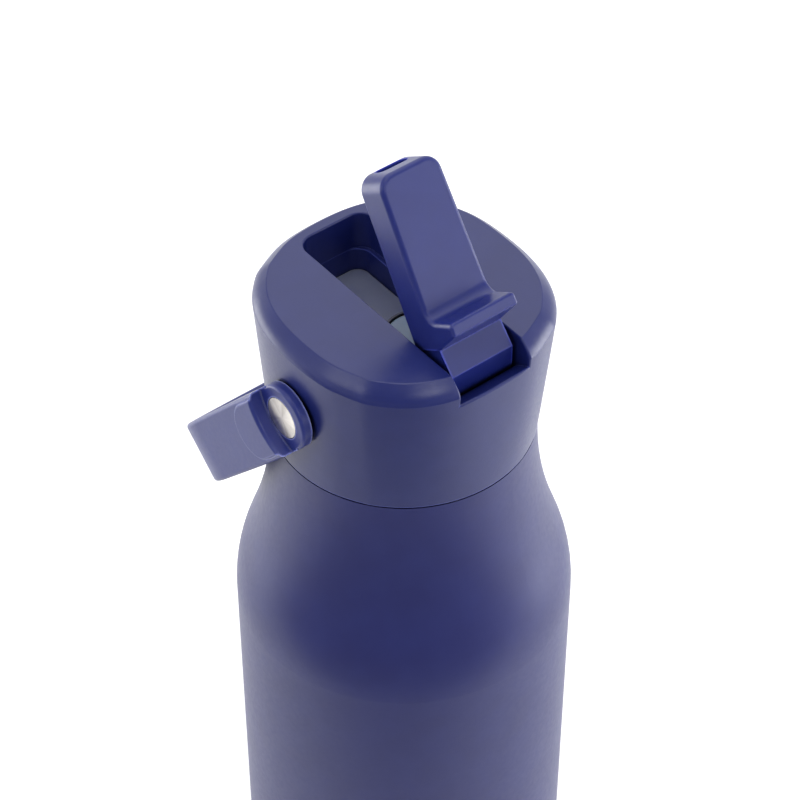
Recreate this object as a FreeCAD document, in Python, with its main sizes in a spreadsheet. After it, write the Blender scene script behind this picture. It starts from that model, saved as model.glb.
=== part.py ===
import FreeCAD, Part
import math
import os
import re
import Sketcher
from FreeCAD import Rotation, Vector

# Insulated drinking bottle with a screw lid, a flip-up spout and a swinging carry handle.
# Millimetres. +Z is up, Z = 0 is the standing face and X is the line of the hinge pins.
# The spout's hinge is on the -Y side of the lid, and the handle hangs on the +Y side.

SIZES = {
    # bottle body
    "body_radius": 36.5, "seam_height": 207.7, "shoulder_height": 49.64, "flare_share": 0.702,
    "shell_wall": 0.8, "liner_wall": 0.6, "vacuum_gap": 2.4, "weld_gap": 0.05,
    "foot_radius": 3.0, "foot_land": 2.0, "cup_rise": 3.2, "liner_floor_height": 7.6,
    "liner_flange_height": 5.0, "cover_thickness": 0.6, "getter_radius": 4.0, "getter_thickness": 1.2,
    "vacuum_port_radius": 1.2, "vacuum_port_offset": 14.0,
    # threaded neck
    "neck_radius": 21.9, "neck_wall": 0.7, "neck_height": 13.4, "thread_lead": 5.0, "thread_turns": 1.5,
    "thread_depth": 1.0, "thread_root": 2.2, "thread_crest": 1.0, "thread_start": 4.2,
    "lug_count": 3, "lug_height": 1.4, "lug_arc": 30.0, "thread_clearance": 0.4,
    # lid
    "lid_gap": 0.4, "lid_wall": 2.0, "lid_top_wall": 2.2, "bevel_height": 3.7, "bevel_inset": 2.8,
    "bevel_roundness": 1.6, "lid_flare_x": 0.48, "lid_flare_y": 1.63, "squareness": 2.4,
    "insert_wall": 1.3, "insert_rise": 0.6, "insert_plate": 2.0,
    "gasket_thickness": 1.9, "gasket_clearance": 0.3, "seat_gap": 0.1,
    # well and hinge notch in the lid
    "rim_width": 5.2, "well_corner": 3.5, "well_wall": 2.5, "ledge_width": 1.5, "ledge_rise": 5.0,
    "floor_rise": 2.8, "floor_setback": 0.6, "floor_corner": 3.0, "well_draft": 6.0,
    "floor_clearance": 0.15, "notch_drop": 4.9, "notch_fall": 3.0, "notch_depth": 5.4,
    # flip spout
    "hinge_inset": 10.2, "spout_angle": 56.3, "spout_front": 6.0, "spout_back": 2.4, "spout_half": 8.0,
    "spout_taper": 0.8, "spout_corner": 3.4, "spout_clearance": 0.5, "tip_clearance": 1.5,
    "fold_gap": 0.3, "knuckle_radius": 5.4, "knuckle_shoulder": 0.5, "knuckle_gap": 0.4,
    "knuckle_span": 6.5, "tab_reach": 7.8, "tab_thickness": 2.6, "tab_start": 12.1, "tab_fillet": 2.6,
    "tab_root": 6.2, "crease_offset": 0.45, "crease_rise": 0.75, "slot_width": 7.2, "slot_height": 3.2,
    "slot_floor": 8.0, "slot_rise": 0.3, "channel_radius": 1.9, "hinge_pin_radius": 1.25,
    "running_clearance": 0.05, "hinge_pin_reach": 3.2, "hinge_pin_hold": 2.1,
    # seal, valve and straw
    "port_offset": 2.5, "port_radius": 2.2, "port_seal_radius": 5.0, "port_lip_radius": 3.8,
    "port_seal_thickness": 3.6, "valve_offset": 12.7, "valve_margin": 1.1, "valve_drop": 0.2,
    "valve_wall": 0.9, "valve_stem": 1.6, "valve_head": 2.6, "valve_head_height": 2.4,
    "vent_radius": 0.8, "vent_offset": 3.5, "collar_wall": 0.45, "straw_radius": 3.5,
    "straw_wall": 0.8, "straw_bottom": 11.0, "nozzle_length": 12.0, "nozzle_wall": 0.8,
    "nozzle_flange": 4.0, "nozzle_flange_thickness": 1.0,
    # carry handle and its pivots
    "pivot_height": 16.9, "hang_gap": 0.2, "swing_clearance": 9.2, "bow_thickness": 3.5,
    "arm_thickness": 4.9, "bow_radius": 24.0, "pad_root": 1.0, "ear_thickness": 1.3,
    "handle_width": 14.2, "bow_width": 13.2, "recess_clearance": 0.15, "pad_rise": 0.45,
    "pad_inset": 1.0, "pad_start": 0.7, "pad_end": 15.4, "pin_radius": 2.5, "head_overhang": 1.9,
    "pin_head_thickness": 0.8, "bush_wall": 0.85, "flange_inset": 1.1, "bush_flange": 0.35,
    "retainer_width": 1.5, "retainer_thickness": 0.5, "retainer_gap": 0.055,
    "step_radius": 14.0, "step_margin": 0.15,
    # rounded edges of the mouldings
    "lid_edge": 0.4, "spout_edge": 1.0, "tab_edge": 0.6, "handle_edge": 0.9, "pad_edge": 0.3,
    "ear_edge": 0.7, "step_edge": 0.8,
}

# What follows from those sizes. The lid is built out from the neck and up from its rim.
RELATIONS = {
    "insert_bore": "neck_radius + thread_depth + thread_clearance",
    "insert_radius": "insert_bore + insert_wall",
    "handle_pin_end": "insert_radius + seat_gap",
    "hollow_radius": "sqrt((handle_pin_end + retainer_thickness + retainer_gap)^2 + retainer_radius^2)",
    "seam_radius": "hollow_radius + lid_wall",
    "lid_half_x": "seam_radius + lid_flare_x",
    "lid_half_y": "seam_radius + lid_flare_y",
    "ceiling_height": "neck_height + gasket_thickness + 2 * seat_gap",
    "floor_height": "ceiling_height + insert_plate + floor_rise",
    "ledge_height": "floor_height + ledge_rise",
    "hinge_height": "ledge_height + fold_gap + spout_back",
    "lid_height": "hinge_height + spout_front + fold_gap",
    "hinge_y": "hinge_inset - lid_half_y",
    "well_end": "lid_half_y - rim_width",
    "well_half": "spout_half + spout_clearance",
    "floor_half": "well_half - ledge_width",
    "floor_end": "well_end - floor_setback",
    "notch_lip": "lid_height - notch_drop",
    "notch_floor": "notch_lip - notch_fall",
    "spout_length": "well_end - tip_clearance - hinge_y",
    "knuckle_half": "spout_half - knuckle_shoulder",
    "port_y": "hinge_y + port_offset",
    "valve_y": "port_y + valve_offset",
    "valve_radius": "floor_half - valve_margin",
    "valve_height": "ledge_rise - valve_drop",
    "nozzle_radius": "straw_radius - straw_wall - running_clearance",
    "flare": "((body_radius - seam_radius)^2 + shoulder_height^2) / (2 * (body_radius - seam_radius))",
    "neck_arc": "flare * flare_share",
    "crown_arc": "flare * (1 - flare_share)",
    "handle_inner": "lid_half_x + bush_flange",
    "handle_outer": "handle_inner + arm_thickness",
    "tip_rise": "hinge_height - pivot_height + spout_length * sin(spout_angle)",
    "tip_y": "hinge_y + spout_length * cos(spout_angle)",
    "handle_reach": "sqrt(tip_y^2 + tip_rise^2) + swing_clearance",
    "ear_radius": "handle_width / 2",
    "pad_half": "ear_radius - pad_inset",
    "bush_radius": "pin_radius + running_clearance + bush_wall",
    "bush_flange_radius": "ear_radius - flange_inset",
    "pin_head_radius": "pin_radius + head_overhang",
    "counterbore_radius": "pin_head_radius + recess_clearance",
    "head_back": "handle_inner + ear_thickness + seat_gap",
    "ear_face": "head_back + pin_head_thickness",
    "pad_face": "handle_outer + pad_rise",
    "step_centre": "counterbore_radius + step_margin - step_radius",
    "retainer_radius": "pin_radius + retainer_width",
    "corner_square": "handle_reach^2 + (bow_width / 2)^2",
    "centre_square": "(seam_radius + neck_arc)^2 + pivot_height^2",
    "corner_turn": "acos((corner_square + centre_square - (neck_arc - hang_gap)^2)"
                   " / (2 * sqrt(corner_square * centre_square)))",
    "handle_angle": "atan(pivot_height / (seam_radius + neck_arc)) + corner_turn"
                    " - atan(bow_width / 2 / handle_reach)",
}

EDGE_SLACK = 0.05

doc = FreeCAD.newDocument("bottle")
sheet = doc.addObject("Spreadsheet::Sheet", "Sizes")
for row, (alias, size) in enumerate(SIZES.items(), start=1):
    sheet.set(f"A{row}", alias)
    sheet.set(f"B{row}", str(size))
    sheet.setAlias(f"B{row}", alias)
doc.recompute()


# ---------------------------------------------------------------- helpers

def bound(text):
    """The expression with each relation written out and each size's name pointing at the sheet."""
    def place(word):
        if word[0] in RELATIONS:
            return f"({bound(RELATIONS[word[0]])})"
        return f"Sizes.{word[0]}" if word[0] in SIZES else word[0]

    return re.sub(r"[a-z_]+", place, str(text))


def size(text):
    """The number that an expression of sizes comes to, in degrees for an angle."""
    value = sheet.evalExpression(bound(text))
    return float(getattr(value, "Value", value))


def tie(item, **expressions):
    """Bind properties to expressions of sizes; a double underscore stands for a dot."""
    for name, text in expressions.items():
        item.setExpression(name.replace("__", "."), bound(text))


def move(item, x="0", y="0", z="0", axis=Vector(0, 0, 1), angle="0"):
    """Bind an item's position, and turn it about an axis by an angle in degrees."""
    tie(item, Placement__Base__x=x, Placement__Base__y=y, Placement__Base__z=z)
    item.Placement.Rotation = Rotation(axis, size(angle))
    tie(item, Placement__Rotation__Angle=angle)


def upright(name, radius, height, x="0", y="0", z="0"):
    item = doc.addObject("Part::Cylinder", name)
    tie(item, Radius=radius, Height=height)
    move(item, x, y, z)
    return item


def crosswise(name, radius, length, x, y, z):
    """A cylinder along +X that starts at x."""
    item = doc.addObject("Part::Cylinder", name)
    tie(item, Radius=radius, Height=length)
    move(item, x, y, z, Vector(0, 1, 0), "90")
    return item


def block(name, x, y, z, length, width, height):
    item = doc.addObject("Part::Box", name)
    tie(item, Length=length, Width=width, Height=height)
    move(item, x, y, z)
    return item


def cut(name, base, tools):
    item = doc.addObject("Part::Cut", name)
    item.Base = base
    item.Tool = tools if not isinstance(tools, list) else fuse(f"{name}_tools", tools)
    item.Refine = True
    return item


def fuse(name, shapes):
    item = doc.addObject("Part::MultiFuse", name)
    item.Shapes = shapes
    item.Refine = True
    return item


def common(name, shapes):
    item = doc.addObject("Part::MultiCommon", name)
    item.Shapes = shapes
    item.Refine = True
    return item


def arc_between(start, end, radius, turn):
    """The arc from start to end, turning left (+1) or right (-1), as an anticlockwise circle arc."""
    chord = end - start
    half = chord.Length / 2
    rise = math.sqrt(max(radius ** 2 - half ** 2, 0))
    side = Vector(-chord.y, chord.x, 0).normalize() * turn
    centre = (start + end) / 2 + side * rise
    first, last = (start, end) if turn > 0 else (end, start)
    angles = [math.atan2(point.y - centre.y, point.x - centre.x) for point in (first, last)]
    return Part.ArcOfCircle(Part.Circle(centre, Vector(0, 0, 1), radius), *angles)


def outline(body, name, plane, corners):
    """A closed sketch through corners (x, y), where (x, y, radius, turn) is reached by an arc."""
    sketch = body.newObject("Sketcher::SketchObject", name)
    base = next(item for item in body.Origin.OriginFeatures if item.Role == plane)
    sketch.AttachmentSupport = [(base, "")]
    sketch.MapMode = "FlatFace"
    points = [Vector(size(corner[0]), size(corner[1]), 0) for corner in corners]
    starts, ends = [], []
    for index, corner in enumerate(corners):
        start, end = points[index - 1], points[index]
        if len(corner) == 4:
            radius, turn = corner[2:]
            edge = sketch.addGeometry(arc_between(start, end, size(radius), turn), False)
            starts.append((edge, 1 if turn > 0 else 2))
            ends.append((edge, 2 if turn > 0 else 1))
            held = sketch.addConstraint(Sketcher.Constraint("Radius", edge, size(radius)))
            sketch.setExpression(f"Constraints[{held}]", bound(radius))
        else:
            edge = sketch.addGeometry(Part.LineSegment(start, end), False)
            starts.append((edge, 1))
            ends.append((edge, 2))
    for index, corner in enumerate(corners):
        following = (index + 1) % len(corners)
        sketch.addConstraint(Sketcher.Constraint("Coincident", *ends[index], *starts[following]))
        for kind, text, number, line in (("DistanceX", corner[0], points[index].x, -2),
                                         ("DistanceY", corner[1], points[index].y, -1)):
            if str(text) == "0":
                sketch.addConstraint(Sketcher.Constraint("PointOnObject", *ends[index], line))
            else:
                held = sketch.addConstraint(Sketcher.Constraint(kind, -1, 1, *ends[index], number))
                sketch.setExpression(f"Constraints[{held}]", bound(text))
    return sketch


def turned(name, corners, x="0", y="0", z="0"):
    """A body of revolution about its own Z axis; corners are (radius, height)."""
    body = doc.addObject("PartDesign::Body", name)
    sketch = outline(body, f"{name}_profile", "XZ_Plane", corners)
    feature = body.newObject("PartDesign::Revolution", f"{name}_turning")
    feature.Profile = sketch
    feature.ReferenceAxis = (sketch, ["V_Axis"])
    feature.Angle = 360
    sketch.Visibility = False
    move(body, x, y, z)
    return body


def prism(name, plane, corners, length, one_way=False, taper=None):
    """A body of one outline, centred on its plane or rising from it, its sides drawn by a taper."""
    body = doc.addObject("PartDesign::Body", name)
    sketch = outline(body, f"{name}_profile", plane, corners)
    feature = body.newObject("PartDesign::Pad", f"{name}_pad")
    feature.Profile = sketch
    feature.SideType = "One side" if one_way else "Symmetric"
    tie(feature, Length=length)
    if taper:
        tie(feature, TaperAngle=taper)
    return body


def soften(name, base, radius, *regions):
    """Round the edges that lie in a region: three ranges of distance from the planes of the axes."""
    doc.recompute()

    def reach(low, high):
        return (0 if low < 0 < high else min(abs(low), abs(high))), max(abs(low), abs(high))

    limits = [[(size(low) - EDGE_SLACK, size(high) + EDGE_SLACK) for low, high in region]
              for region in regions]
    chosen = []
    for index, edge in enumerate(base.Shape.Edges, start=1):
        box = edge.BoundBox
        spans = [reach(box.XMin, box.XMax), reach(box.YMin, box.YMax), reach(box.ZMin, box.ZMax)]
        held = any(all(low <= near and far <= high for (near, far), (low, high) in zip(spans, region))
                   for region in limits)
        if held and edge.Length > 2 * size(radius):
            chosen.append((index, size(radius), size(radius)))
    item = doc.addObject("Part::Fillet", name)
    item.Base = base
    item.Edges = chosen
    return item


def sheet_metal(top, inset, wall):
    """Both sides of the spun wall from the shoulder's top to the straight side, at an inset."""
    lean = "asin(shoulder_height / flare)"

    def side(step):
        turn_x = f"seam_radius + neck_arc - (neck_arc + {step}) * cos({lean})"
        turn_z = f"seam_height - (neck_arc + {step}) * sin({lean})"
        return [(f"seam_radius - {step}", top),
                (turn_x, turn_z, f"neck_arc + {step}", 1),
                (f"body_radius - {step}", "seam_height - shoulder_height", f"crown_arc - {step}", -1)]

    return side(f"({inset})"), side(f"({inset} + {wall})")


# ---------------------------------------------------------------- bottle body

def outer_shell():
    """Painted steel skin: neck ledge, flared shoulder, straight side and rolled foot."""
    outside, inside = sheet_metal("seam_height", "0", "shell_wall")
    lip = "body_radius - foot_radius"
    corners = [("neck_radius + weld_gap", "seam_height - shell_wall"),
               ("neck_radius + weld_gap", "seam_height")]
    corners += outside
    corners += [("body_radius", "foot_radius"),
                (lip, "0", "foot_radius", -1),
                (f"{lip} - foot_land", "0"),
                (f"{lip} - foot_land", "shell_wall"),
                (lip, "shell_wall"),
                ("body_radius - shell_wall", "foot_radius", "foot_radius - shell_wall", 1)]
    corners += [inside[2][:2],
                (*inside[1][:2], inside[2][2], 1),
                ("seam_radius - shell_wall", "seam_height - shell_wall", inside[1][2], -1)]
    return turned("outer_shell", corners)


def inner_liner():
    """Bare steel liner: the neck that the lid screws on, and the wall behind the vacuum."""
    inset = "shell_wall + vacuum_gap"
    outside, inside = sheet_metal("seam_height - vacuum_gap", inset, "liner_wall")
    top = "seam_height + neck_height"
    root = "seam_height - vacuum_gap - shell_wall"
    corners = [("neck_radius - neck_wall", top),
               ("neck_radius", top),
               ("neck_radius", root),
               (outside[0][0], root)]
    corners += [outside[1],
                outside[2],
                (outside[2][0], "liner_floor_height"),
                (inside[2][0], "liner_floor_height"),
                inside[2][:2],
                (*inside[1][:2], inside[2][2], 1),
                (inside[0][0], f"{root} - liner_wall", inside[1][2], -1),
                ("neck_radius - neck_wall", f"{root} - liner_wall")]
    body = turned("inner_liner", corners)
    base = "seam_height + thread_start"
    ridge = outline(body, "thread_profile", "XZ_Plane",
                    [("neck_radius - neck_wall / 2", f"{base} - thread_root / 2"),
                     ("neck_radius", f"{base} - thread_root / 2"),
                     ("neck_radius + thread_depth", f"{base} - thread_crest / 2"),
                     ("neck_radius + thread_depth", f"{base} + thread_crest / 2"),
                     ("neck_radius", f"{base} + thread_root / 2"),
                     ("neck_radius - neck_wall / 2", f"{base} + thread_root / 2")])
    doc.recompute()
    thread = body.newObject("PartDesign::AdditiveHelix", "neck_thread")
    thread.Profile = ridge
    thread.ReferenceAxis = (ridge, ["V_Axis"])
    thread.Mode = 0
    tie(thread, Pitch="thread_lead", Height="thread_lead * thread_turns")
    body.Tip = thread
    return body


def liner_bottom():
    """Pressed floor of the liner, its flange welded up inside the wall."""
    reach = "body_radius - shell_wall - vacuum_gap - liner_wall - weld_gap"
    return turned("liner_bottom", [
        ("0", "0"),
        (reach, "0"),
        (reach, "liner_flange_height"),
        (f"{reach} - liner_wall", "liner_flange_height"),
        (f"{reach} - liner_wall", "liner_wall"),
        ("0", "liner_wall")], z="liner_floor_height")


def base_cup():
    """Steel cup that closes the skin below and carries the getter in the vacuum."""
    rim = "body_radius - foot_radius"
    land = "body_radius - foot_radius - foot_land"
    plain = turned("base_cup_plain", [
        ("0", "cup_rise"),
        (f"{land} - cup_rise", "cup_rise"),
        (f"{land}", "0"),
        (rim, "0"),
        (rim, "shell_wall"),
        (f"{land} + shell_wall / 2", "shell_wall"),
        (f"{land} - cup_rise + shell_wall / 2", "cup_rise + shell_wall"),
        ("0", "cup_rise + shell_wall")], z="shell_wall")
    port = upright("base_cup_port", "vacuum_port_radius", "shell_wall * 3",
                   x="vacuum_port_offset", z="cup_rise")
    return cut("base_cup", plain, port)


def base_cover():
    """Thin disc set into the foot, level with it."""
    return upright("base_cover", "body_radius - foot_radius - foot_land - weld_gap",
                   "cover_thickness")


def vacuum_parts():
    """The getter on the cup, and the bead that seals the hole the air was drawn through."""
    upright("getter", "getter_radius", "getter_thickness", z="shell_wall * 2 + cup_rise")
    bead = "vacuum_port_radius - weld_gap"
    turned("vacuum_seal", [("0", "-shell_wall"),
                           (f"{bead} * 2", "-shell_wall"),
                           (f"{bead} * 2", "0"),
                           (bead, "0"),
                           (bead, "shell_wall"),
                           ("0", "shell_wall")],
           x="vacuum_port_offset", z="shell_wall + cup_rise")


# ---------------------------------------------------------------- lid

def oval_wire(half_x, half_y, power, height, spans=8):
    """A smooth outline between an ellipse and a rectangle: four curves that meet at 45 degrees."""
    def point(angle):
        across, along = abs(math.cos(angle)) / half_x, abs(math.sin(angle)) / half_y
        reach = (across ** power + along ** power) ** (-1 / power)
        return Vector(reach * math.cos(angle), reach * math.sin(angle), height)

    def tangent(angle, nudge=1e-4):
        return (point(angle + nudge) - point(angle - nudge)).normalize()

    edges = []
    for quarter in range(4):
        start = math.pi / 4 + quarter * math.pi / 2
        angles = [start + math.pi / 2 * step / spans for step in range(spans + 1)]
        curve = Part.BSplineCurve()
        curve.interpolate([point(angle) for angle in angles],
                          InitialTangent=tangent(angles[0]), FinalTangent=tangent(angles[-1]))
        edges.append(curve.toShape())
    return Part.Wire(edges)


def lid_skin():
    """Solid form of the lid: a side that flares from round to squarish, and a rounded bevel."""
    seam = size("seam_radius")
    flare_x = size("lid_half_x - seam_radius")
    flare_y = size("lid_half_y - seam_radius")
    power = size("squareness")
    bottom = size("lid_gap")
    rim = size("lid_height - bevel_height")
    top = size("lid_height")

    def section(height, inset=0.0):
        share = min(height / rim, 1)
        return oval_wire(seam + flare_x * share - inset, seam + flare_y * share - inset,
                         2 + (power - 2) * share, size("seam_height") + height)

    side = [section(bottom + (rim - bottom) * step / 2) for step in range(3)]
    inset, roundness = size("bevel_inset"), size("bevel_roundness")
    bevel = [section(rim + (top - rim) * step / 3, inset * (step / 3) ** roundness)
             for step in range(4)]
    item = doc.addObject("Part::Feature", "lid_skin")
    item.Shape = Part.makeLoft(side, True).fuse(Part.makeLoft(bevel, True))
    return item


def well_outline(half, start, end, corner):
    """Plan of the well: square at the hinge, its far corners rounded."""
    return [(f"-({half})", start),
            (half, start),
            (half, f"{end} - {corner}"),
            (f"{half} - {corner}", end, corner, 1),
            (f"-({half} - {corner})", end),
            (f"-({half})", f"{end} - {corner}", corner, 1)]


def seat_level():
    """Height of the underside of the well's tub, just above the inner cap."""
    return "seam_height + ceiling_height + insert_plate + seat_gap"


def lid_shell():
    """Outer moulding: flared skin, the well that the spout folds into, and its hinge notch."""
    top = "seam_height + lid_height"
    skin = lid_skin()
    hollow = upright("lid_hollow", "hollow_radius", "lid_height - lid_top_wall", z="seam_height")
    seat = seat_level()
    outer = "well_half + well_wall"
    outside = "lid_half_y + lid_wall"
    tub = block("well_tub", f"-({outer})", f"-({outside})", seat, f"2 * ({outer})",
                f"{outside} + well_end + well_wall", f"{top} - ({seat})")
    walls = fuse("lid_walls", [cut("lid_cup", skin, hollow), common("lid_tub", [skin, tub])])

    # the well is straight above the ledge, drawn in below it and open underneath for the inner cap
    start = "hinge_y + knuckle_radius"
    floor = well_outline("floor_half", start, "floor_end", "floor_corner")
    opening = well_outline("well_half", "hinge_y", "well_end", "well_corner")
    upper = prism("well_upper", "XY_Plane", opening, "lid_height", one_way=True)
    move(upper, z="seam_height + ledge_height")
    lower = prism("well_lower", "XY_Plane", floor, "ledge_height - floor_height", one_way=True,
                  taper="well_draft")
    move(lower, z="seam_height + floor_height")
    base = prism("well_base", "XY_Plane", floor, "floor_height - ceiling_height", one_way=True)
    move(base, z="seam_height + ceiling_height")

    # the notch opens the well outwards, and its floor falls towards the spout's knuckle
    notch = prism("hinge_notch", "YZ_Plane", [
        (f"-({outside})", "seam_height + notch_lip"),
        ("-lid_half_y", "seam_height + notch_lip"),
        ("hinge_y - notch_depth", "seam_height + notch_floor"),
        ("hinge_y", "seam_height + notch_floor"),
        ("hinge_y", f"{top} + lid_wall"),
        (f"-({outside})", f"{top} + lid_wall")], "2 * well_half")
    room = crosswise("knuckle_room", "knuckle_radius + knuckle_gap", "2 * well_half",
                     "-well_half", "hinge_y", "seam_height + hinge_height")
    seal_seat = upright("port_seal_seat", "port_seal_radius + floor_clearance",
                        "hinge_height - ceiling_height", y="port_y", z="seam_height + ceiling_height")
    hold = "well_half + hinge_pin_hold + seat_gap"
    hinge_bore = crosswise("hinge_bore", "hinge_pin_radius + running_clearance / 2", f"2 * ({hold})",
                           f"-({hold})", "hinge_y", "seam_height + hinge_height")
    pivots = [crosswise(f"pivot_bore_{side}", "pin_radius + running_clearance", "handle_inner - well_end",
                        start_x, "0", "seam_height + pivot_height")
              for side, start_x in (("left", "-handle_inner"), ("right", "well_end"))]
    sharp = cut("lid_sharp", walls, [upper, lower, base, notch, room, seal_seat, hinge_bore] + pivots)
    whole_width = ("0", "lid_half_y")
    face = (whole_width, whole_width, (top, top))
    mouth = (("0", "well_half"), ("knuckle_radius - hinge_y", "lid_half_y"),
             ("seam_height + (notch_floor + notch_lip) / 2", top))
    return soften("lid_shell", sharp, "lid_edge", face, mouth)


def lid_insert():
    """Inner cap: threaded skirt, ceiling over the neck, and the well's pale floor."""
    bottom = "lid_gap + insert_rise"
    roof = "ceiling_height + insert_plate"
    cap = turned("insert_cap", [("0", "ceiling_height"),
                                ("insert_bore", "ceiling_height"),
                                ("insert_bore", bottom),
                                ("insert_radius", bottom),
                                ("insert_radius", roof),
                                ("0", roof)], z="seam_height")
    clear = "floor_clearance"
    boss = prism("insert_floor", "XY_Plane",
                 well_outline(f"floor_half - {clear}", f"hinge_y + knuckle_radius + {clear}",
                              f"floor_end - {clear}", f"floor_corner - {clear}"),
                 "floor_height - ceiling_height", one_way=True)
    move(boss, z="seam_height + ceiling_height")
    seal_seat = upright("insert_seal_seat", f"port_seal_radius + {clear}", "floor_height",
                        y="port_y", z=f"seam_height + {roof}")
    lugs = []
    for index in range(1, int(size("lug_count")) + 1):
        middle = f"360 / lug_count * ({index} - 0.5)"
        rise = f"thread_start + thread_lead * (({index} - 0.5) / lug_count - 0.5) - lug_height / 2"
        outer = upright(f"lug_{index}_outer", "insert_bore + insert_wall / 2", "lug_height")
        inner = upright(f"lug_{index}_inner", "neck_radius + thread_clearance", "lug_height")
        tie(outer, Angle="lug_arc")
        for item in (outer, inner):
            move(item, z=f"seam_height + {rise}", angle=f"{middle} - lug_arc / 2")
        lugs.append(cut(f"lug_{index}", outer, inner))
    port = upright("insert_port", "nozzle_radius + running_clearance", "floor_height",
                   y="port_y", z="seam_height + ceiling_height - insert_plate")
    stem = upright("insert_stem_hole", "valve_stem + running_clearance", "floor_height",
                   y="valve_y", z="seam_height + ceiling_height - insert_plate")
    vents = [upright(f"insert_vent_{side}", "vent_radius", "floor_height", x=x, y="valve_y",
                     z="seam_height + ceiling_height - insert_plate")
             for side, x in (("left", "-vent_offset"), ("right", "vent_offset"))]
    body = fuse("insert_body", [cap, cut("insert_boss", boss, seal_seat)] + lugs)
    return cut("lid_insert", body, [port, stem] + vents)


def lid_gasket():
    """Silicone ring between the neck's rim and the inner cap's ceiling."""
    inner = "neck_radius - neck_wall - gasket_clearance"
    outer = "insert_bore - gasket_clearance"
    turned("lid_gasket", [(inner, "neck_height + seat_gap"),
                          (outer, "neck_height + seat_gap"),
                          (outer, "ceiling_height - seat_gap"),
                          (inner, "ceiling_height - seat_gap")], z="seam_height")


def vent_valve():
    """Silicone dome that lets air in, and the ring that holds it on the well's floor."""
    stem_end = "ceiling_height - floor_height"
    turned("vent_valve", [("0", "valve_height"),
                          ("valve_radius - valve_wall", "valve_height"),
                          ("valve_radius", "valve_height - valve_wall", "valve_wall", -1),
                          ("valve_radius", "seat_gap"),
                          ("valve_radius - valve_wall", "seat_gap"),
                          ("valve_radius - valve_wall", "valve_height - valve_wall"),
                          ("valve_stem", "valve_height - valve_wall"),
                          ("valve_stem", f"{stem_end} - seat_gap"),
                          ("valve_head", f"{stem_end} - seat_gap"),
                          ("valve_stem / 2", f"{stem_end} - valve_head_height"),
                          ("0", f"{stem_end} - valve_head_height")],
           y="valve_y", z="seam_height + floor_height")
    inner = "valve_radius + running_clearance"
    turned("valve_collar", [(inner, "seat_gap"),
                            (f"{inner} + collar_wall", "seat_gap"),
                            (f"{inner} + collar_wall", "ledge_height - floor_height"),
                            (inner, "ledge_height - floor_height")],
           y="valve_y", z="seam_height + floor_height")


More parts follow.
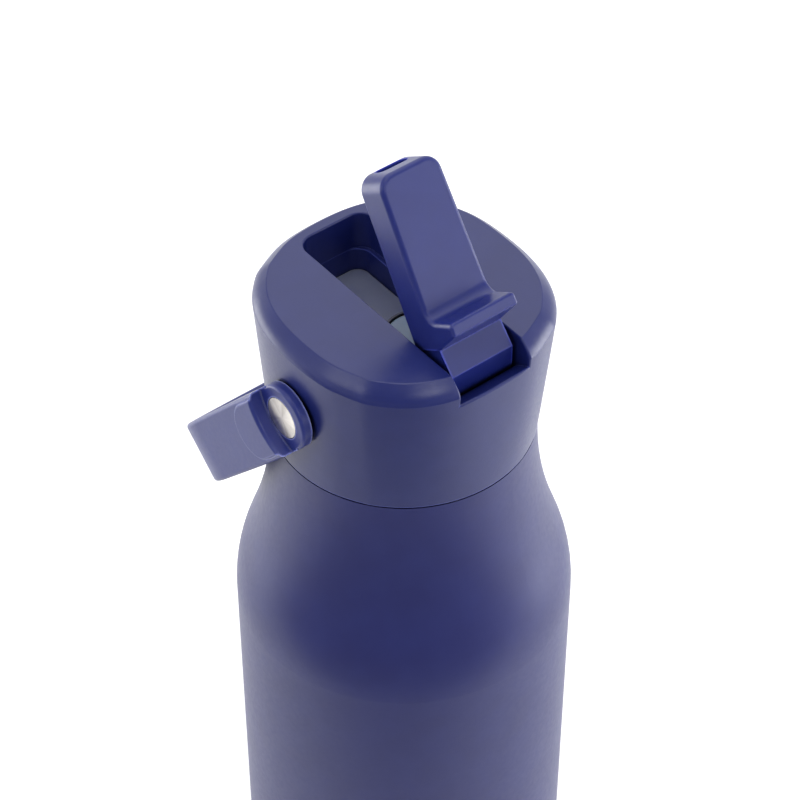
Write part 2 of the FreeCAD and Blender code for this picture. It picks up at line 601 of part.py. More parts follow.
def spout():
    """Mouthpiece in its folded frame: hinge at the origin, blade along +Y, front face up."""
    knuckle = "knuckle_radius"
    tab_face = "spout_front + tab_reach"
    side = prism("spout_side", "YZ_Plane", [
        ("spout_length", "-spout_back"),
        ("spout_length", "spout_front"),
        ("tab_start + tab_fillet", "spout_front"),
        ("tab_start", "spout_front + tab_fillet", "tab_fillet", -1),
        ("tab_start", tab_face),
        ("tab_start - tab_thickness", tab_face),
        ("tab_root", "spout_front"),
        ("crease_offset", "spout_front + crease_rise"),
        (f"-{knuckle} * cos(spout_angle)", f"{knuckle} * sin(spout_angle)"),
        (f"-{knuckle} * sin(45)", f"-{knuckle} * cos(45)", knuckle, 1),
        (f"sqrt({knuckle}^2 - spout_back^2)", "-spout_back", knuckle, 1)], "2 * spout_half")
    tip = "spout_half - spout_taper"
    plan = prism("spout_plan", "XY_Plane", [
        ("knuckle_half", "-2 * knuckle_radius"),
        ("knuckle_half", "knuckle_span"),
        ("spout_half", "knuckle_span"),
        (tip, "spout_length - spout_corner"),
        (f"{tip} - spout_corner", "spout_length", "spout_corner", 1),
        (f"-({tip} - spout_corner)", "spout_length"),
        (f"-({tip})", "spout_length - spout_corner", "spout_corner", 1),
        ("-spout_half", "knuckle_span"),
        ("-knuckle_half", "knuckle_span"),
        ("-knuckle_half", "-2 * knuckle_radius")], "4 * (spout_front + tab_reach)")
    sharp = common("spout_sharp", [side, plan])
    across = ("0", "spout_half")
    end = "spout_length"
    foot = ("knuckle_span", "tab_start + tab_fillet")
    front = (across, (f"{foot[1]} + 2 * {EDGE_SLACK}", end), ("spout_front", "spout_front"))
    back = (across, ("knuckle_span", end), ("spout_back", "spout_back"))
    tab_end = (across, foot, (tab_face, tab_face))
    tab_sides = ((tip, "spout_half"), foot, ("spout_front", tab_face))
    rounded = soften("spout_rounded", sharp, "spout_edge", front, back)
    blade = soften("spout_blade", rounded, "tab_edge", tab_end, tab_sides)

    slot_end = "slot_width / 2 - slot_height / 2"
    round_end = "slot_height / 2"
    slot = prism("spout_slot", "XZ_Plane", [
        (f"-({slot_end})", f"slot_rise - {round_end}", round_end, 1),
        (slot_end, f"slot_rise - {round_end}"),
        ("slot_width / 2", "slot_rise", round_end, 1),
        (slot_end, f"slot_rise + {round_end}", round_end, 1),
        (f"-({slot_end})", f"slot_rise + {round_end}"),
        ("-slot_width / 2", "slot_rise", round_end, 1)], "2 * spout_length")
    move(slot, y="spout_length + slot_floor")
    drop = "atan(slot_rise / slot_floor)"
    bore = upright("spout_bore", "channel_radius", "slot_floor + channel_radius")
    bore.Placement.Rotation = Rotation(Vector(-1, 0, 0), 90)
    tie(bore, Placement__Rotation__Angle=f"90 deg - {drop}")
    lean = "asin((port_y - hinge_y) / knuckle_radius)"
    outlet = upright("spout_outlet", "channel_radius", "2 * knuckle_radius")
    outlet.Placement.Rotation = Rotation(Vector(1, 0, 0), 90)
    tie(outlet, Placement__Rotation__Angle=f"180 deg + {lean} - spout_angle * 1 deg")
    heart = doc.addObject("Part::Sphere", "spout_heart")
    tie(heart, Radius="channel_radius")
    pin_end = "knuckle_half - hinge_pin_reach - seat_gap"
    bore_length = "hinge_pin_reach + well_half"
    pin_bores = [crosswise(f"spout_pin_bore_{side}", "hinge_pin_radius + running_clearance",
                           bore_length, x, "0", "0")
                 for side, x in (("left", f"-({pin_end}) - ({bore_length})"), ("right", pin_end))]
    whole = cut("spout", blade, [slot, bore, outlet, heart] + pin_bores)
    move(whole, "0", "hinge_y", "seam_height + hinge_height", Vector(1, 0, 0), "spout_angle")
    return whole


def spout_pins():
    """Steel dowels that the spout turns on, one pressed into each side of the notch."""
    length = "hinge_pin_reach + (well_half - knuckle_half) + hinge_pin_hold"
    inner = "knuckle_half - hinge_pin_reach"
    for side, x in (("left", f"-({inner}) - ({length})"), ("right", inner)):
        crosswise(f"spout_pin_{side}", "hinge_pin_radius", length, x, "hinge_y",
                  "seam_height + hinge_height")


def port_seal():
    """Silicone seat under the knuckle, its lip shaped to the turning face."""
    plain = turned("port_seal_plain", [
        ("port_radius", "0"),
        ("port_seal_radius", "0"),
        ("port_seal_radius", "port_seal_thickness"),
        ("port_lip_radius", "port_seal_thickness"),
        ("port_lip_radius", "2 * port_seal_thickness"),
        ("port_radius", "2 * port_seal_thickness")], y="port_y", z=seat_level())
    face = crosswise("port_seal_face", "knuckle_radius + gasket_clearance", "2 * well_half",
                     "-well_half", "hinge_y", "seam_height + hinge_height")
    return cut("port_seal", plain, face)


def straw_parts():
    """Adapter under the port, and the straw that reaches the bottle's floor."""
    outer = "nozzle_radius"
    turned("straw_adapter", [
        (f"{outer} - nozzle_wall", "-nozzle_length"),
        (outer, "-nozzle_length"),
        (outer, "-seat_gap - nozzle_flange_thickness"),
        ("nozzle_flange", "-seat_gap - nozzle_flange_thickness"),
        ("nozzle_flange", "-seat_gap"),
        (outer, "-seat_gap"),
        (outer, "insert_plate"),
        (f"{outer} - nozzle_wall", "insert_plate")], y="port_y", z="seam_height + ceiling_height")
    top = "seam_height + ceiling_height - nozzle_flange_thickness - 2 * seat_gap"
    turned("straw", [
        ("straw_radius - straw_wall", "straw_bottom"),
        ("straw_radius", "straw_bottom"),
        ("straw_radius", top),
        ("straw_radius - straw_wall", top)], y="port_y")


# ---------------------------------------------------------------- carry handle

def handle():
    """Carry loop in its level frame: pivots on the X axis, arms along +Y."""
    reach = "handle_reach + bow_thickness"
    bend = f"{reach} - bow_radius"
    flat = "handle_outer - bow_radius"
    inner = "handle_outer - bow_thickness"
    turn = "bow_radius - bow_thickness"
    loop = prism("handle_loop", "XY_Plane", [
        ("handle_outer", "pad_start"),
        ("handle_outer", bend),
        (flat, reach, "bow_radius", 1),
        (f"-({flat})", reach),
        ("-handle_outer", bend, "bow_radius", 1),
        ("-handle_outer", "pad_start"),
        ("-handle_inner", "pad_start"),
        (f"-({inner})", bend),
        (f"-({flat})", "handle_reach", turn, -1),
        (flat, "handle_reach"),
        (inner, bend, turn, -1),
        ("handle_inner", "pad_start")], "handle_width")
    width = prism("handle_taper", "YZ_Plane", [
        ("-ear_radius", "-handle_width / 2"),
        ("pad_end", "-handle_width / 2"),
        (f"{reach} + ear_radius", "-bow_width / 2"),
        (f"{reach} + ear_radius", "bow_width / 2"),
        ("pad_end", "handle_width / 2"),
        ("-ear_radius", "handle_width / 2")], "2 * (handle_outer + arm_thickness)")
    sides = ("bow_width / 2", "handle_width / 2")
    all_along = ("pad_start", reach)
    shape = [soften("handle_bow", common("handle_sharp", [loop, width]), "handle_edge",
                    (("handle_outer", "handle_outer"), all_along, sides),
                    (("handle_inner", inner), all_along, sides),
                    (("0", "handle_outer"), (bend, reach), sides))]
    holes = []
    for side, sign in (("left", "-1"), ("right", "1")):
        raised = prism(f"handle_pad_{side}", "YZ_Plane", [
            ("pad_start", "-pad_half"),
            ("pad_end - pad_half", "-pad_half"),
            ("pad_end", "0", "pad_half", 1),
            ("pad_end - pad_half", "pad_half", "pad_half", 1),
            ("pad_start", "pad_half")], "pad_root + pad_rise")
        move(raised, x=f"{sign} * (handle_outer + (pad_rise - pad_root) / 2)")
        shape.append(soften(f"handle_pad_{side}_rounded", raised, "pad_edge",
                            (("pad_face", "pad_face"), ("0", "pad_end"), ("0", "pad_half"))))
        ear_start = "handle_inner" if sign == "1" else "-ear_face"
        ear = crosswise(f"handle_ear_{side}", "ear_radius", "ear_face - handle_inner", ear_start,
                        "0", "0")
        shape.append(soften(f"handle_ear_{side}_rounded", ear, "ear_edge",
                            (("ear_face", "ear_face"), ("0", "ear_radius"), ("0", "ear_radius"))))
        # the arm steps down to the ear in a shallow curve, and the pin's head is let in flush
        step = turned(f"handle_step_{side}", [
            ("0", "ear_face"),
            ("step_radius", "ear_face"),
            ("step_radius", "pad_face - step_edge"),
            ("step_radius + step_edge", "pad_face", "step_edge", -1),
            ("step_radius + step_edge", "pad_face + arm_thickness"),
            ("0", "pad_face + arm_thickness")])
        move(step, "0", "step_centre", "0", Vector(0, float(sign), 0), "90")
        holes.append(step)
        depth = "pad_face - handle_inner - ear_thickness"
        bore_start = "handle_inner + ear_thickness" if sign == "1" else "-pad_face"
        holes.append(crosswise(f"handle_counterbore_{side}", "counterbore_radius", depth,
                               bore_start, "0", "0"))
        hole_start = "handle_inner - pad_root" if sign == "1" else "-handle_outer"
        holes.append(crosswise(f"handle_hole_{side}", "bush_radius + running_clearance",
                               "handle_outer - handle_inner + pad_root", hole_start, "0", "0"))
    whole = cut("handle", fuse("handle_body", shape), holes)
    move(whole, "0", "0", "seam_height + pivot_height", Vector(-1, 0, 0), "handle_angle")
    return whole


def pivot(side, sign):
    """One pivot: headed pin, plastic bush in the handle's ear, and push-on retainer inside."""
    height = "seam_height + pivot_height"
    axis = Vector(0, sign, 0)
    retainer_back = "handle_pin_end + retainer_thickness"
    bush_face = "handle_inner - running_clearance"

    def across(name, corners):
        body = turned(name, corners)
        move(body, "0", "0", height, axis, "90")

    across(f"handle_pin_{side}", [
        ("0", "handle_pin_end"),
        ("pin_radius", "handle_pin_end"),
        ("pin_radius", "head_back"),
        ("pin_head_radius", "head_back"),
        ("pin_head_radius", "ear_face"),
        ("0", "ear_face")])
    across(f"handle_bush_{side}", [
        ("pin_radius + running_clearance", f"{bush_face} - bush_flange"),
        ("bush_flange_radius", f"{bush_face} - bush_flange"),
        ("bush_flange_radius", bush_face),
        ("bush_radius", bush_face),
        ("bush_radius", "handle_inner + ear_thickness - running_clearance"),
        ("pin_radius + running_clearance", "handle_inner + ear_thickness - running_clearance")])
    across(f"pin_retainer_{side}", [
        ("pin_radius + running_clearance / 2", "handle_pin_end"),
        ("retainer_radius", "handle_pin_end"),
        ("retainer_radius", retainer_back),
        ("pin_radius + running_clearance / 2", retainer_back)])


# ---------------------------------------------------------------- build and write

def build():
    outer_shell()
    inner_liner()
    liner_bottom()
    base_cup()
    base_cover()
    vacuum_parts()
    lid_shell()
    lid_insert()
    lid_gasket()
    vent_valve()
    spout()
    spout_pins()
    port_seal()
    straw_parts()
    handle()
    pivot("left", -1)
    pivot("right", 1)
    doc.recompute()


NODES = ["outer_shell", "inner_liner", "liner_bottom", "base_cup", "base_cover", "getter",
         "vacuum_seal", "lid_shell", "lid_insert", "lid_gasket", "vent_valve", "valve_collar",
         "spout", "spout_pin_left", "spout_pin_right", "port_seal", "straw_adapter", "straw",
         "handle", "handle_pin_left", "handle_pin_right", "handle_bush_left", "handle_bush_right",
         "pin_retainer_left", "pin_retainer_right"]

build()
for item in doc.Objects:
    if "Invalid" in item.State or "Error" in item.State:
        raise RuntimeError(f"{item.Name} failed: {item.State}")
os.makedirs("parts", exist_ok=True)
for name in NODES:
    shape = doc.getObject(name).Shape
    if shape.isNull() or not shape.isValid() or len(shape.Solids) != 1:
        raise RuntimeError(f"{name} is not one sound solid")
    shape.exportStep(f"parts/{name}.step")
    print(f"{name}: {shape.Volume:.1f} mm3")
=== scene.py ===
import math

import bpy
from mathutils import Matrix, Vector


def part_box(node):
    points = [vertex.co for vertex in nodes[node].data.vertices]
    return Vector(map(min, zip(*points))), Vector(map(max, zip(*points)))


# An insulated drinking bottle: a powder-coated steel body, and a moulded lid with a flip-up straw
# spout and a carry handle on two steel pins. Metres, +Z up, the spout's hinge on the -Y side.
# The CAD nodes carry every shape. This script gives them their finishes, the light and the camera.

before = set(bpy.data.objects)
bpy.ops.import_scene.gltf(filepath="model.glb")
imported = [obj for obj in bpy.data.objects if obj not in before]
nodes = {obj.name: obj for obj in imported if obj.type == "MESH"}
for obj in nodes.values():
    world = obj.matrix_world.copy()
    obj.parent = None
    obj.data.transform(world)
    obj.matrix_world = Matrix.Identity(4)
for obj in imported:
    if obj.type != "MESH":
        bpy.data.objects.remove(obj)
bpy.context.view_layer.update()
MM = 0.001


def bearing(azimuth, elevation):
    """The way out from the bottle at a compass angle from its front and a height, in degrees."""
    turn, rise = math.radians(azimuth), math.radians(elevation)
    return Vector((math.sin(turn) * math.cos(rise), -math.cos(turn) * math.cos(rise),
                   math.sin(rise)))


# ---------------------------------------------------------------- camera

SENSOR = 36.0                       # millimetres, as the lens is
LENS = 119.5
AZIMUTH = -38.4                     # degrees from the front (-Y), negative to the left
ELEVATION = 44.14
DISTANCE = 0.5443
TARGET = Vector((0, 0, 0.2111))     # just above the seam under the lid
AXIS_SHIFT = -0.0049
NEAR_CLIP = 0.01

back = bearing(AZIMUTH, ELEVATION)
camera_data = bpy.data.cameras.new("camera")
camera_data.sensor_width = SENSOR
camera_data.lens = LENS
camera_data.shift_x = AXIS_SHIFT
camera_data.clip_start = NEAR_CLIP
camera = bpy.data.objects.new("camera", camera_data)
bpy.context.scene.collection.objects.link(camera)
camera.location = TARGET + back * DISTANCE
camera.rotation_euler = back.to_track_quat("Z", "Y").to_euler()
bpy.context.scene.camera = camera


# ---------------------------------------------------------------- materials

# the near-black colour painted as shade deep in narrow gaps
PAINTED_GAP_SHADE = "#05060f"
GAP_REACH = 1.5 * MM
GAP_OPEN, GAP_SHUT = 0.75, 0.25     # shares of open sky at which the shade starts and is full
FLAT, CORNER = 0.99, 0.88           # how far the rounded normal agrees on the flat and on a corner
GLOSS_SWING = 0.03                  # how far a moulding's roughness wanders either way


def rgb(hex_code):
    """A colour written as sRGB hex, as linear red, green, blue and alpha."""
    channels = [int(hex_code[place:place + 2], 16) / 255 for place in (1, 3, 5)]
    return [c / 12.92 if c <= 0.04045 else ((c + 0.055) / 1.055) ** 2.4 for c in channels] + [1.0]


def add(tree, kind, inputs=(), **settings):
    """One node with its settings, whose sockets take plain values or another node's output."""
    node = tree.nodes.new(kind)
    for name, value in settings.items():
        setattr(node, name, value)
    for socket, value in dict(inputs).items():
        if isinstance(value, bpy.types.NodeSocket):
            tree.links.new(value, node.inputs[socket])
        else:
            node.inputs[socket].default_value = value
    return node


def new_material(name, **values):
    """An empty material with one Principled shader, and the object's own coordinates."""
    material = bpy.data.materials.new(name)
    material.use_nodes = True
    tree = material.node_tree
    tree.nodes.clear()
    shader = add(tree, "ShaderNodeBsdfPrincipled",
                 {socket.replace("_", " "): value for socket, value in values.items()})
    add(tree, "ShaderNodeOutputMaterial", {"Surface": shader.outputs["BSDF"]})
    place = add(tree, "ShaderNodeTexCoord").outputs["Object"]
    return material, tree, shader, place


def mottle(tree, place, low, high, patch_mm):
    """A soft blend of two near colours, as pigment settles unevenly over a few millimetres."""
    noise = add(tree, "ShaderNodeTexNoise", {"Vector": place, "Scale": 1 / (patch_mm * MM),
                                             "Detail": 2.0})
    share = add(tree, "ShaderNodeMapRange", {"Value": noise.outputs["Fac"], "From Min": 0.35,
                                             "From Max": 0.65})
    return add(tree, "ShaderNodeMix", {"Factor": share.outputs["Result"], "A": rgb(low),
                                       "B": rgb(high)}, data_type="RGBA").outputs["Result"]


def uneven_gloss(tree, place, patch_mm, low, high):
    """A roughness that wanders between two limits, as it does on a textured surface."""
    noise = add(tree, "ShaderNodeTexNoise", {"Vector": place, "Scale": 1 / (patch_mm * MM),
                                             "Detail": 3.0})
    return add(tree, "ShaderNodeMapRange", {"Value": noise.outputs["Fac"], "From Min": 0.3,
                                            "From Max": 0.7, "To Min": low,
                                            "To Max": high}).outputs["Result"]


def edge_line(tree, width_mm):
    """How near a point is to a sharp or tight corner, from 0 on the flat to 1 on the corner."""
    rounded = add(tree, "ShaderNodeBevel", {"Radius": width_mm * MM}, samples=8)
    flat = add(tree, "ShaderNodeNewGeometry").outputs["Normal"]
    match = add(tree, "ShaderNodeVectorMath", {0: rounded.outputs["Normal"], 1: flat},
                operation="DOT_PRODUCT")
    return add(tree, "ShaderNodeMapRange", {"Value": match.outputs["Value"], "From Min": FLAT,
                                            "From Max": CORNER}).outputs["Result"]


def paint_gap_shade(tree, colour):
    """Painted shade: a colour taken to near black deep in a narrow gap, where shade falls."""
    openness = add(tree, "ShaderNodeAmbientOcclusion", {"Distance": GAP_REACH}, samples=8)
    depth = add(tree, "ShaderNodeMapRange", {"Value": openness.outputs["AO"], "From Min": GAP_OPEN,
                                             "From Max": GAP_SHUT})
    return add(tree, "ShaderNodeMix", {"Factor": depth.outputs["Result"], "A": colour,
                                       "B": rgb(PAINTED_GAP_SHADE)}, data_type="RGBA").outputs["Result"]


def powder_coat():
    """Matte polyester powder coat, cured on steel: soft reflections, a faint bloom at a glancing
    angle, and a fine orange peel about 0.5 mm across."""
    material, tree, shader, place = new_material(
        "polyester_powder_coat_matte", IOR=1.5, Sheen_Weight=0.12, Sheen_Roughness=0.3)
    coat = mottle(tree, place, "#20266a", "#232a6f", patch_mm=9.0)
    # Painted shade: the coat's colour goes near black deep in narrow gaps, such as the seam under
    # the lid.
    tree.links.new(paint_gap_shade(tree, coat), shader.inputs["Base Color"])
    tree.links.new(uneven_gloss(tree, place, 1.2, 0.37, 0.43), shader.inputs["Roughness"])
    peel_size, peel_height = 0.55 * MM, 0.03 * MM
    peel = add(tree, "ShaderNodeTexNoise", {"Vector": place, "Scale": 1 / peel_size,
                                            "Detail": 2.0})
    bump = add(tree, "ShaderNodeBump", {"Height": peel.outputs["Fac"], "Strength": 0.25,
                                        "Distance": peel_height})
    tree.links.new(bump.outputs["Normal"], shader.inputs["Normal"])
    return material


def moulded_plastic(name, low, high, edge_highlight, roughness, grain_mm, depth_mm, clouded=0.3,
                    corner_mm=0.6):
    """Coloured plastic from a spark-eroded mould: an even grain softens its highlights, and light
    soaks a little way into it where it is clouded. Its corners are painted a paler colour, a
    painted highlight where edges catch the light.
    Such a grain is usually about 0.1 mm across. It is drawn at 0.25 to 0.4 mm so that it
    shows."""
    material, tree, shader, place = new_material(
        name, IOR=1.5, Subsurface_Weight=clouded, Subsurface_Scale=1.2 * MM,
        Subsurface_Radius=(0.25, 0.3, 1.0))
    body = mottle(tree, place, low, high, patch_mm=6.0)
    # Painted highlight: corners and tight edges take the paler edge colour.
    colour = add(tree, "ShaderNodeMix", {"Factor": edge_line(tree, corner_mm), "A": body,
                                         "B": rgb(edge_highlight)}, data_type="RGBA")
    # Painted shade: the colour goes near black deep in narrow gaps.
    tree.links.new(paint_gap_shade(tree, colour.outputs["Result"]), shader.inputs["Base Color"])
    tree.links.new(uneven_gloss(tree, place, 0.8, roughness - GLOSS_SWING,
                                roughness + GLOSS_SWING), shader.inputs["Roughness"])
    grain = add(tree, "ShaderNodeTexNoise", {"Vector": place, "Scale": 1 / (grain_mm * MM),
                                             "Detail": 2.0, "Roughness": 0.6})
    bump = add(tree, "ShaderNodeBump", {"Height": grain.outputs["Fac"], "Strength": 1.0,
                                        "Distance": depth_mm * MM})
    tree.links.new(bump.outputs["Normal"], shader.inputs["Normal"])
    return material


def silicone(name, low, high):
    """Liquid silicone rubber: a soft, slightly clear skin with a dusty, low gloss."""
    material, tree, shader, place = new_material(
        name, IOR=1.41, Subsurface_Weight=0.15, Subsurface_Scale=1.5 * MM)
    tree.links.new(mottle(tree, place, low, high, patch_mm=3.0), shader.inputs["Base Color"])
    tree.links.new(uneven_gloss(tree, place, 1.0, 0.42, 0.52), shader.inputs["Roughness"])
    return material


def turned_steel(pivot_z):
    """Stainless steel faced on a lathe: rings too fine to part, so its gloss fans out from the
    centre. A lathe usually leaves them about 0.1 mm apart. They are drawn 0.25 mm apart so that
    they show. Its colour is also painted lighter and darker in wedges round the centre, a painted
    highlight that echoes the fanning gloss."""
    material, tree, shader, place = new_material(
        "stainless_steel_turned", Metallic=1.0, Anisotropic=0.5, Roughness=0.45)
    centre = add(tree, "ShaderNodeMapping", {"Vector": place,
                                             "Location": (0, 0, -pivot_z)}).outputs["Vector"]
    across = add(tree, "ShaderNodeSeparateXYZ", {"Vector": centre})
    angle = add(tree, "ShaderNodeMath", {0: across.outputs["Y"], 1: across.outputs["Z"]},
                operation="ARCTAN2")
    # Painted highlight: lighter and darker wedges of colour round the pin's centre.
    painted_fan = add(tree, "ShaderNodeTexNoise", {"W": angle.outputs[0], "Scale": 1.6, "Detail": 2.0},
              noise_dimensions="1D")
    tone = add(tree, "ShaderNodeMapRange", {"Value": painted_fan.outputs["Fac"], "From Min": 0.3,
                                            "From Max": 0.7})
    steel = add(tree, "ShaderNodeMix", {"Factor": tone.outputs["Result"], "A": rgb("#dcd6cc"),
                                        "B": rgb("#fbf6ee")}, data_type="RGBA")
    tree.links.new(steel.outputs["Result"], shader.inputs["Base Color"])
    radial = add(tree, "ShaderNodeVectorMath", {0: centre, 1: (0, 1, 1)}, operation="MULTIPLY")
    around = add(tree, "ShaderNodeVectorMath", {0: radial.outputs[0], 1: (1, 0, 0)},
                 operation="CROSS_PRODUCT")
    tree.links.new(around.outputs[0], shader.inputs["Tangent"])
    distance = add(tree, "ShaderNodeVectorMath", {0: radial.outputs[0]}, operation="LENGTH")
    ring_spacing, ring_height = 0.25 * MM, 0.004 * MM
    turns = add(tree, "ShaderNodeMath", {0: distance.outputs["Value"],
                                         1: math.tau / ring_spacing}, operation="MULTIPLY")
    ring = add(tree, "ShaderNodeMath", {0: turns.outputs[0]}, operation="SINE")
    bump = add(tree, "ShaderNodeBump", {"Height": ring.outputs[0], "Strength": 0.2,
                                        "Distance": ring_height})
    tree.links.new(bump.outputs["Normal"], shader.inputs["Normal"])
    return material


def spun_steel():
    """Stainless sheet, spun and electropolished: its gloss changes in rings round the bottle's
    axis. They are drawn about 2 mm apart, far coarser than real spinning marks, so that they
    show."""
    material, tree, shader, place = new_material(
        "stainless_steel_spun", Metallic=1.0, Base_Color=rgb("#c9c8c6"))
    rings = add(tree, "ShaderNodeTexWave", {"Vector": place, "Scale": 1 / (6.0 * MM),
                                            "Distortion": 0.8, "Detail": 3.0},
                wave_type="BANDS", bands_direction="Z")
    gloss = add(tree, "ShaderNodeMapRange", {"Value": rings.outputs["Fac"], "To Min": 0.26,
                                             "To Max": 0.38})
    tree.links.new(gloss.outputs["Result"], shader.inputs["Roughness"])
    return material


def dress(material, *names):
    """Give CAD nodes a finish in place of the plain one they came with."""
    for name in names:
        slots = nodes[name].data.materials
        slots.clear()
        slots.append(material)


pivot_height = (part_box("handle_pin_left")[0][2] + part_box("handle_pin_left")[1][2]) / 2

dress(powder_coat(), "outer_shell")

# Lid: opaque navy polypropylene, whose grain is deep enough to spread its highlights.
dress(moulded_plastic("polypropylene_fine_grain", "#1d276b", "#202a6f", "#505ab0",
                      roughness=0.31, grain_mm=0.3, depth_mm=0.012, clouded=0.0, corner_mm=0.5),
      "lid_shell")

# Handle: polypropylene a shade bluer than the lid, satin, with a pale painted highlight along its
# edges.
dress(moulded_plastic("polypropylene_satin", "#24307e", "#273382", "#868ed4",
                      roughness=0.35, grain_mm=0.25, depth_mm=0.006, corner_mm=0.8),
      "handle")

# Spout: polypropylene almost smooth for the mouth, cloudy enough for light to glow blue at its
# edges, a glow helped by a bright blue painted highlight along them.
dress(moulded_plastic("polypropylene_smooth", "#1d297a", "#202c7e", "#4450c4",
                      roughness=0.34, grain_mm=0.25, depth_mm=0.004, clouded=0.5, corner_mm=0.9),
      "spout")

# Inner cap and straw adapter: blue-grey polypropylene, dull and even in colour.
dress(moulded_plastic("polypropylene_grey", "#777d99", "#7c829d", "#9499b2",
                      roughness=0.45, grain_mm=0.25, depth_mm=0.01),
      "lid_insert", "straw_adapter")

# Collar round the air vent: near-black navy polypropylene.
dress(moulded_plastic("polypropylene_dark", "#14152e", "#171832", "#26284a",
                      roughness=0.45, grain_mm=0.25, depth_mm=0.01),
      "valve_collar")

# Bushes in the handle's ears: black acetal, an even satin from a smooth mould.
dress(moulded_plastic("acetal_black", "#1c1c20", "#1f1f23", "#333338",
                      roughness=0.35, grain_mm=0.3, depth_mm=0.005),
      "handle_bush_left", "handle_bush_right")

# Straw: extruded polypropylene with no colour in it, milky and pale.
dress(moulded_plastic("polypropylene_natural", "#c3c8cc", "#cbd0d4", "#d8dcdf",
                      roughness=0.35, grain_mm=0.4, depth_mm=0.005),
      "straw")

dress(silicone("silicone_pale_blue", "#8fa2bb", "#97a9c0"),
      "vent_valve", "lid_gasket", "port_seal")
dress(turned_steel(pivot_height), "handle_pin_left", "handle_pin_right", "spout_pin_left",
      "spout_pin_right", "pin_retainer_left", "pin_retainer_right")
dress(spun_steel(), "inner_liner", "liner_bottom", "base_cup", "base_cover", "getter",
      "vacuum_seal")

# ---------------------------------------------------------------- floor and light

WHITE = (1, 1, 1, 1)
PAPER, UNLIT_PAPER = "#e6e6e8", "#b4b4b6"
FLOOR_SIZE = 6.0
FILL = 0.38                         # what the room gives to matte surfaces
LIT_ROOM, UNLIT_ROOM = 1.0, 0.2     # what its two sides give to reflections
ROOM_DIMS, ROOM_DARK = 0.35, 0.9    # cosines to the dark side, where it starts and is full
UNLIT_SIDE = bearing(-44, 0)
GREY_FROM, GREY_TO = 0.12, 0.165    # metres out on that side, where the paper turns grey
LIFT_FROM, LIFT_TO = 0.1, 0.8       # metres from the bottle's axis, and the glow at each
LIFT_NEAR, LIFT_FAR = 0.47, 1.0
LIT_HEIGHT = 0.2                    # the height on the lid that the lamps aim at


def any_ray(tree, *kinds):
    """1 for the kinds of ray that are named, 0 for the rest."""
    path = add(tree, "ShaderNodeLightPath")
    found = path.outputs[kinds[0]]
    for kind in kinds[1:]:
        found = add(tree, "ShaderNodeMath", {0: found, 1: path.outputs[kind]},
                    operation="MAXIMUM").outputs[0]
    return found


def studio_paper():
    """White paper that takes the bottle's shadow. To the eye and in reflections it is lifted to
    white, more so further out where the lamps don't reach, and in reflections its unlit side
    stays grey."""
    material = bpy.data.materials.new("studio_paper")
    material.use_nodes = True
    tree = material.node_tree
    tree.nodes.clear()
    place = add(tree, "ShaderNodeTexCoord").outputs["Object"]
    seen = any_ray(tree, "Is Camera Ray", "Is Glossy Ray", "Is Transmission Ray")
    away = add(tree, "ShaderNodeVectorMath", {0: place}, operation="LENGTH")
    lift = add(tree, "ShaderNodeMapRange", {"Value": away.outputs["Value"], "From Min": LIFT_FROM,
                                            "From Max": LIFT_TO, "To Min": LIFT_NEAR,
                                            "To Max": LIFT_FAR})
    strength = add(tree, "ShaderNodeMath", {0: lift.outputs["Result"], 1: seen},
                   operation="MULTIPLY")
    glow = add(tree, "ShaderNodeEmission", {"Color": WHITE, "Strength": strength.outputs[0]})
    paper = add(tree, "ShaderNodeBsdfDiffuse", {"Color": rgb(PAPER)})
    lit = add(tree, "ShaderNodeAddShader", {0: paper.outputs[0], 1: glow.outputs[0]})
    toward = add(tree, "ShaderNodeVectorMath", {0: place, 1: tuple(UNLIT_SIDE)},
                 operation="DOT_PRODUCT")
    side = add(tree, "ShaderNodeMapRange", {"Value": toward.outputs["Value"],
                                            "From Min": GREY_FROM, "From Max": GREY_TO})
    unlit = add(tree, "ShaderNodeMath", {0: side.outputs["Result"],
                                         1: any_ray(tree, "Is Glossy Ray")}, operation="MULTIPLY")
    grey = add(tree, "ShaderNodeBsdfDiffuse", {"Color": rgb(UNLIT_PAPER)})
    whole = add(tree, "ShaderNodeMixShader", {0: unlit.outputs[0], 1: lit.outputs[0],
                                              2: grey.outputs[0]})
    add(tree, "ShaderNodeOutputMaterial", {"Surface": whole.outputs[0]})
    return material


bpy.ops.object.select_all(action="DESELECT")
bpy.ops.mesh.primitive_plane_add(size=FLOOR_SIZE, location=(0, 0, 0))
floor = bpy.context.active_object
floor.name = "floor"
floor.data.materials.append(studio_paper())

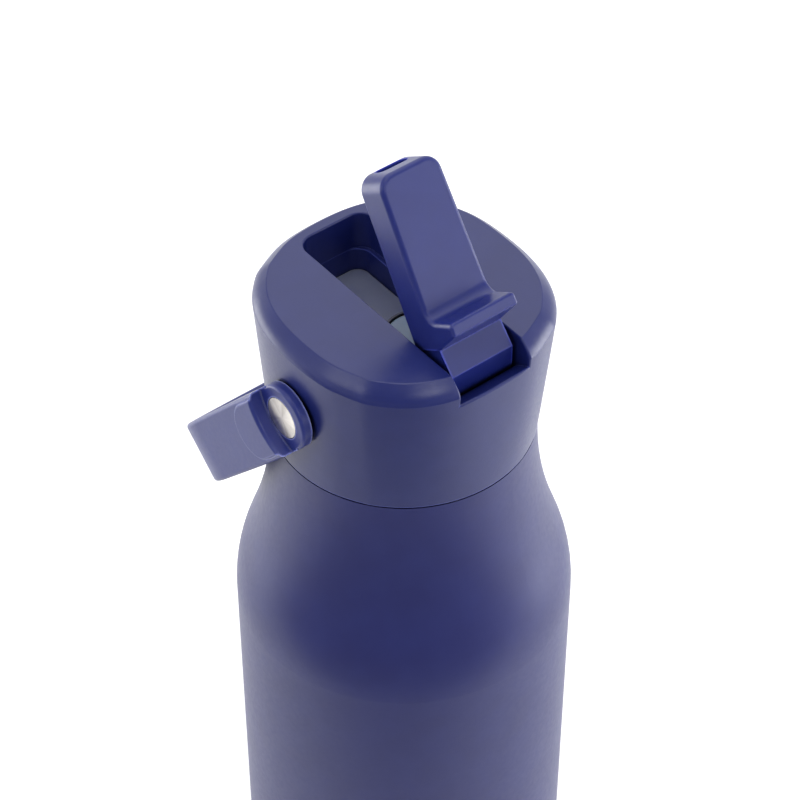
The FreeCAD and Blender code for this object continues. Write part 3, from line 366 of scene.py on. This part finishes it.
# A white room that is unlit on the side the camera stands on, so that faces turned that way stay
# deep in colour. Only reflections see the dark side: matte surfaces get an even fill.
world = bpy.data.worlds.new("studio")
bpy.context.scene.world = world
world.use_nodes = True
room = world.node_tree
room.nodes.clear()
toward = add(room, "ShaderNodeVectorMath", {0: add(room, "ShaderNodeTexCoord").outputs["Generated"],
                                            1: tuple(back)}, operation="DOT_PRODUCT")
dimmed = add(room, "ShaderNodeMapRange", {"Value": toward.outputs["Value"],
                                          "From Min": ROOM_DIMS, "From Max": ROOM_DARK,
                                          "To Min": LIT_ROOM, "To Max": UNLIT_ROOM})
fill = add(room, "ShaderNodeBackground", {"Color": WHITE, "Strength": FILL})
mirrored = add(room, "ShaderNodeBackground", {"Color": WHITE,
                                              "Strength": dimmed.outputs["Result"]})
backdrop = add(room, "ShaderNodeBackground", {"Color": WHITE, "Strength": 1.0})
reflected = add(room, "ShaderNodeMixShader", {0: any_ray(room, "Is Glossy Ray"),
                                              1: fill.outputs[0], 2: mirrored.outputs[0]})
whole = add(room, "ShaderNodeMixShader", {0: any_ray(room, "Is Camera Ray", "Is Transmission Ray"),
                                          1: reflected.outputs[0], 2: backdrop.outputs[0]})
add(room, "ShaderNodeOutputWorld", {"Surface": whole.outputs[0]})


def lamp(name, azimuth, elevation, away, width, height, watts):
    """A soft rectangular light aimed at the lid, placed by its bearing and distance from it.
    Its size is in metres."""
    out = bearing(azimuth, elevation)
    data = bpy.data.lights.new(name, "AREA")
    data.shape = "RECTANGLE"
    data.size, data.size_y = width, height
    data.energy = watts
    item = bpy.data.objects.new(name, data)
    bpy.context.scene.collection.objects.link(item)
    item.location = Vector((0, 0, LIT_HEIGHT)) + out * away
    item.rotation_euler = out.to_track_quat("Z", "Y").to_euler()
    item.visible_camera = False


lamp("overhead", 0, 88, 1.1, 0.8, 0.8, 3.0)
lamp("back_softbox", 141, 44, 1.1, 0.8, 0.8, 1.6)
lamp("front_softbox", 27, 15, 1.1, 0.6, 0.6, 1.8)
lamp("key_right", -9, 44, 1.1, 0.35, 0.35, 1.6)
lamp("key_left", -98, 38, 1.1, 0.45, 0.5, 1.7)
lamp("left_strip", -150, -20, 0.6, 0.4, 0.6, 2.6)
lamp("right_strip", 62, -16, 0.6, 0.3, 0.6, 3.0)

bpy.context.scene.view_settings.view_transform = "Standard"
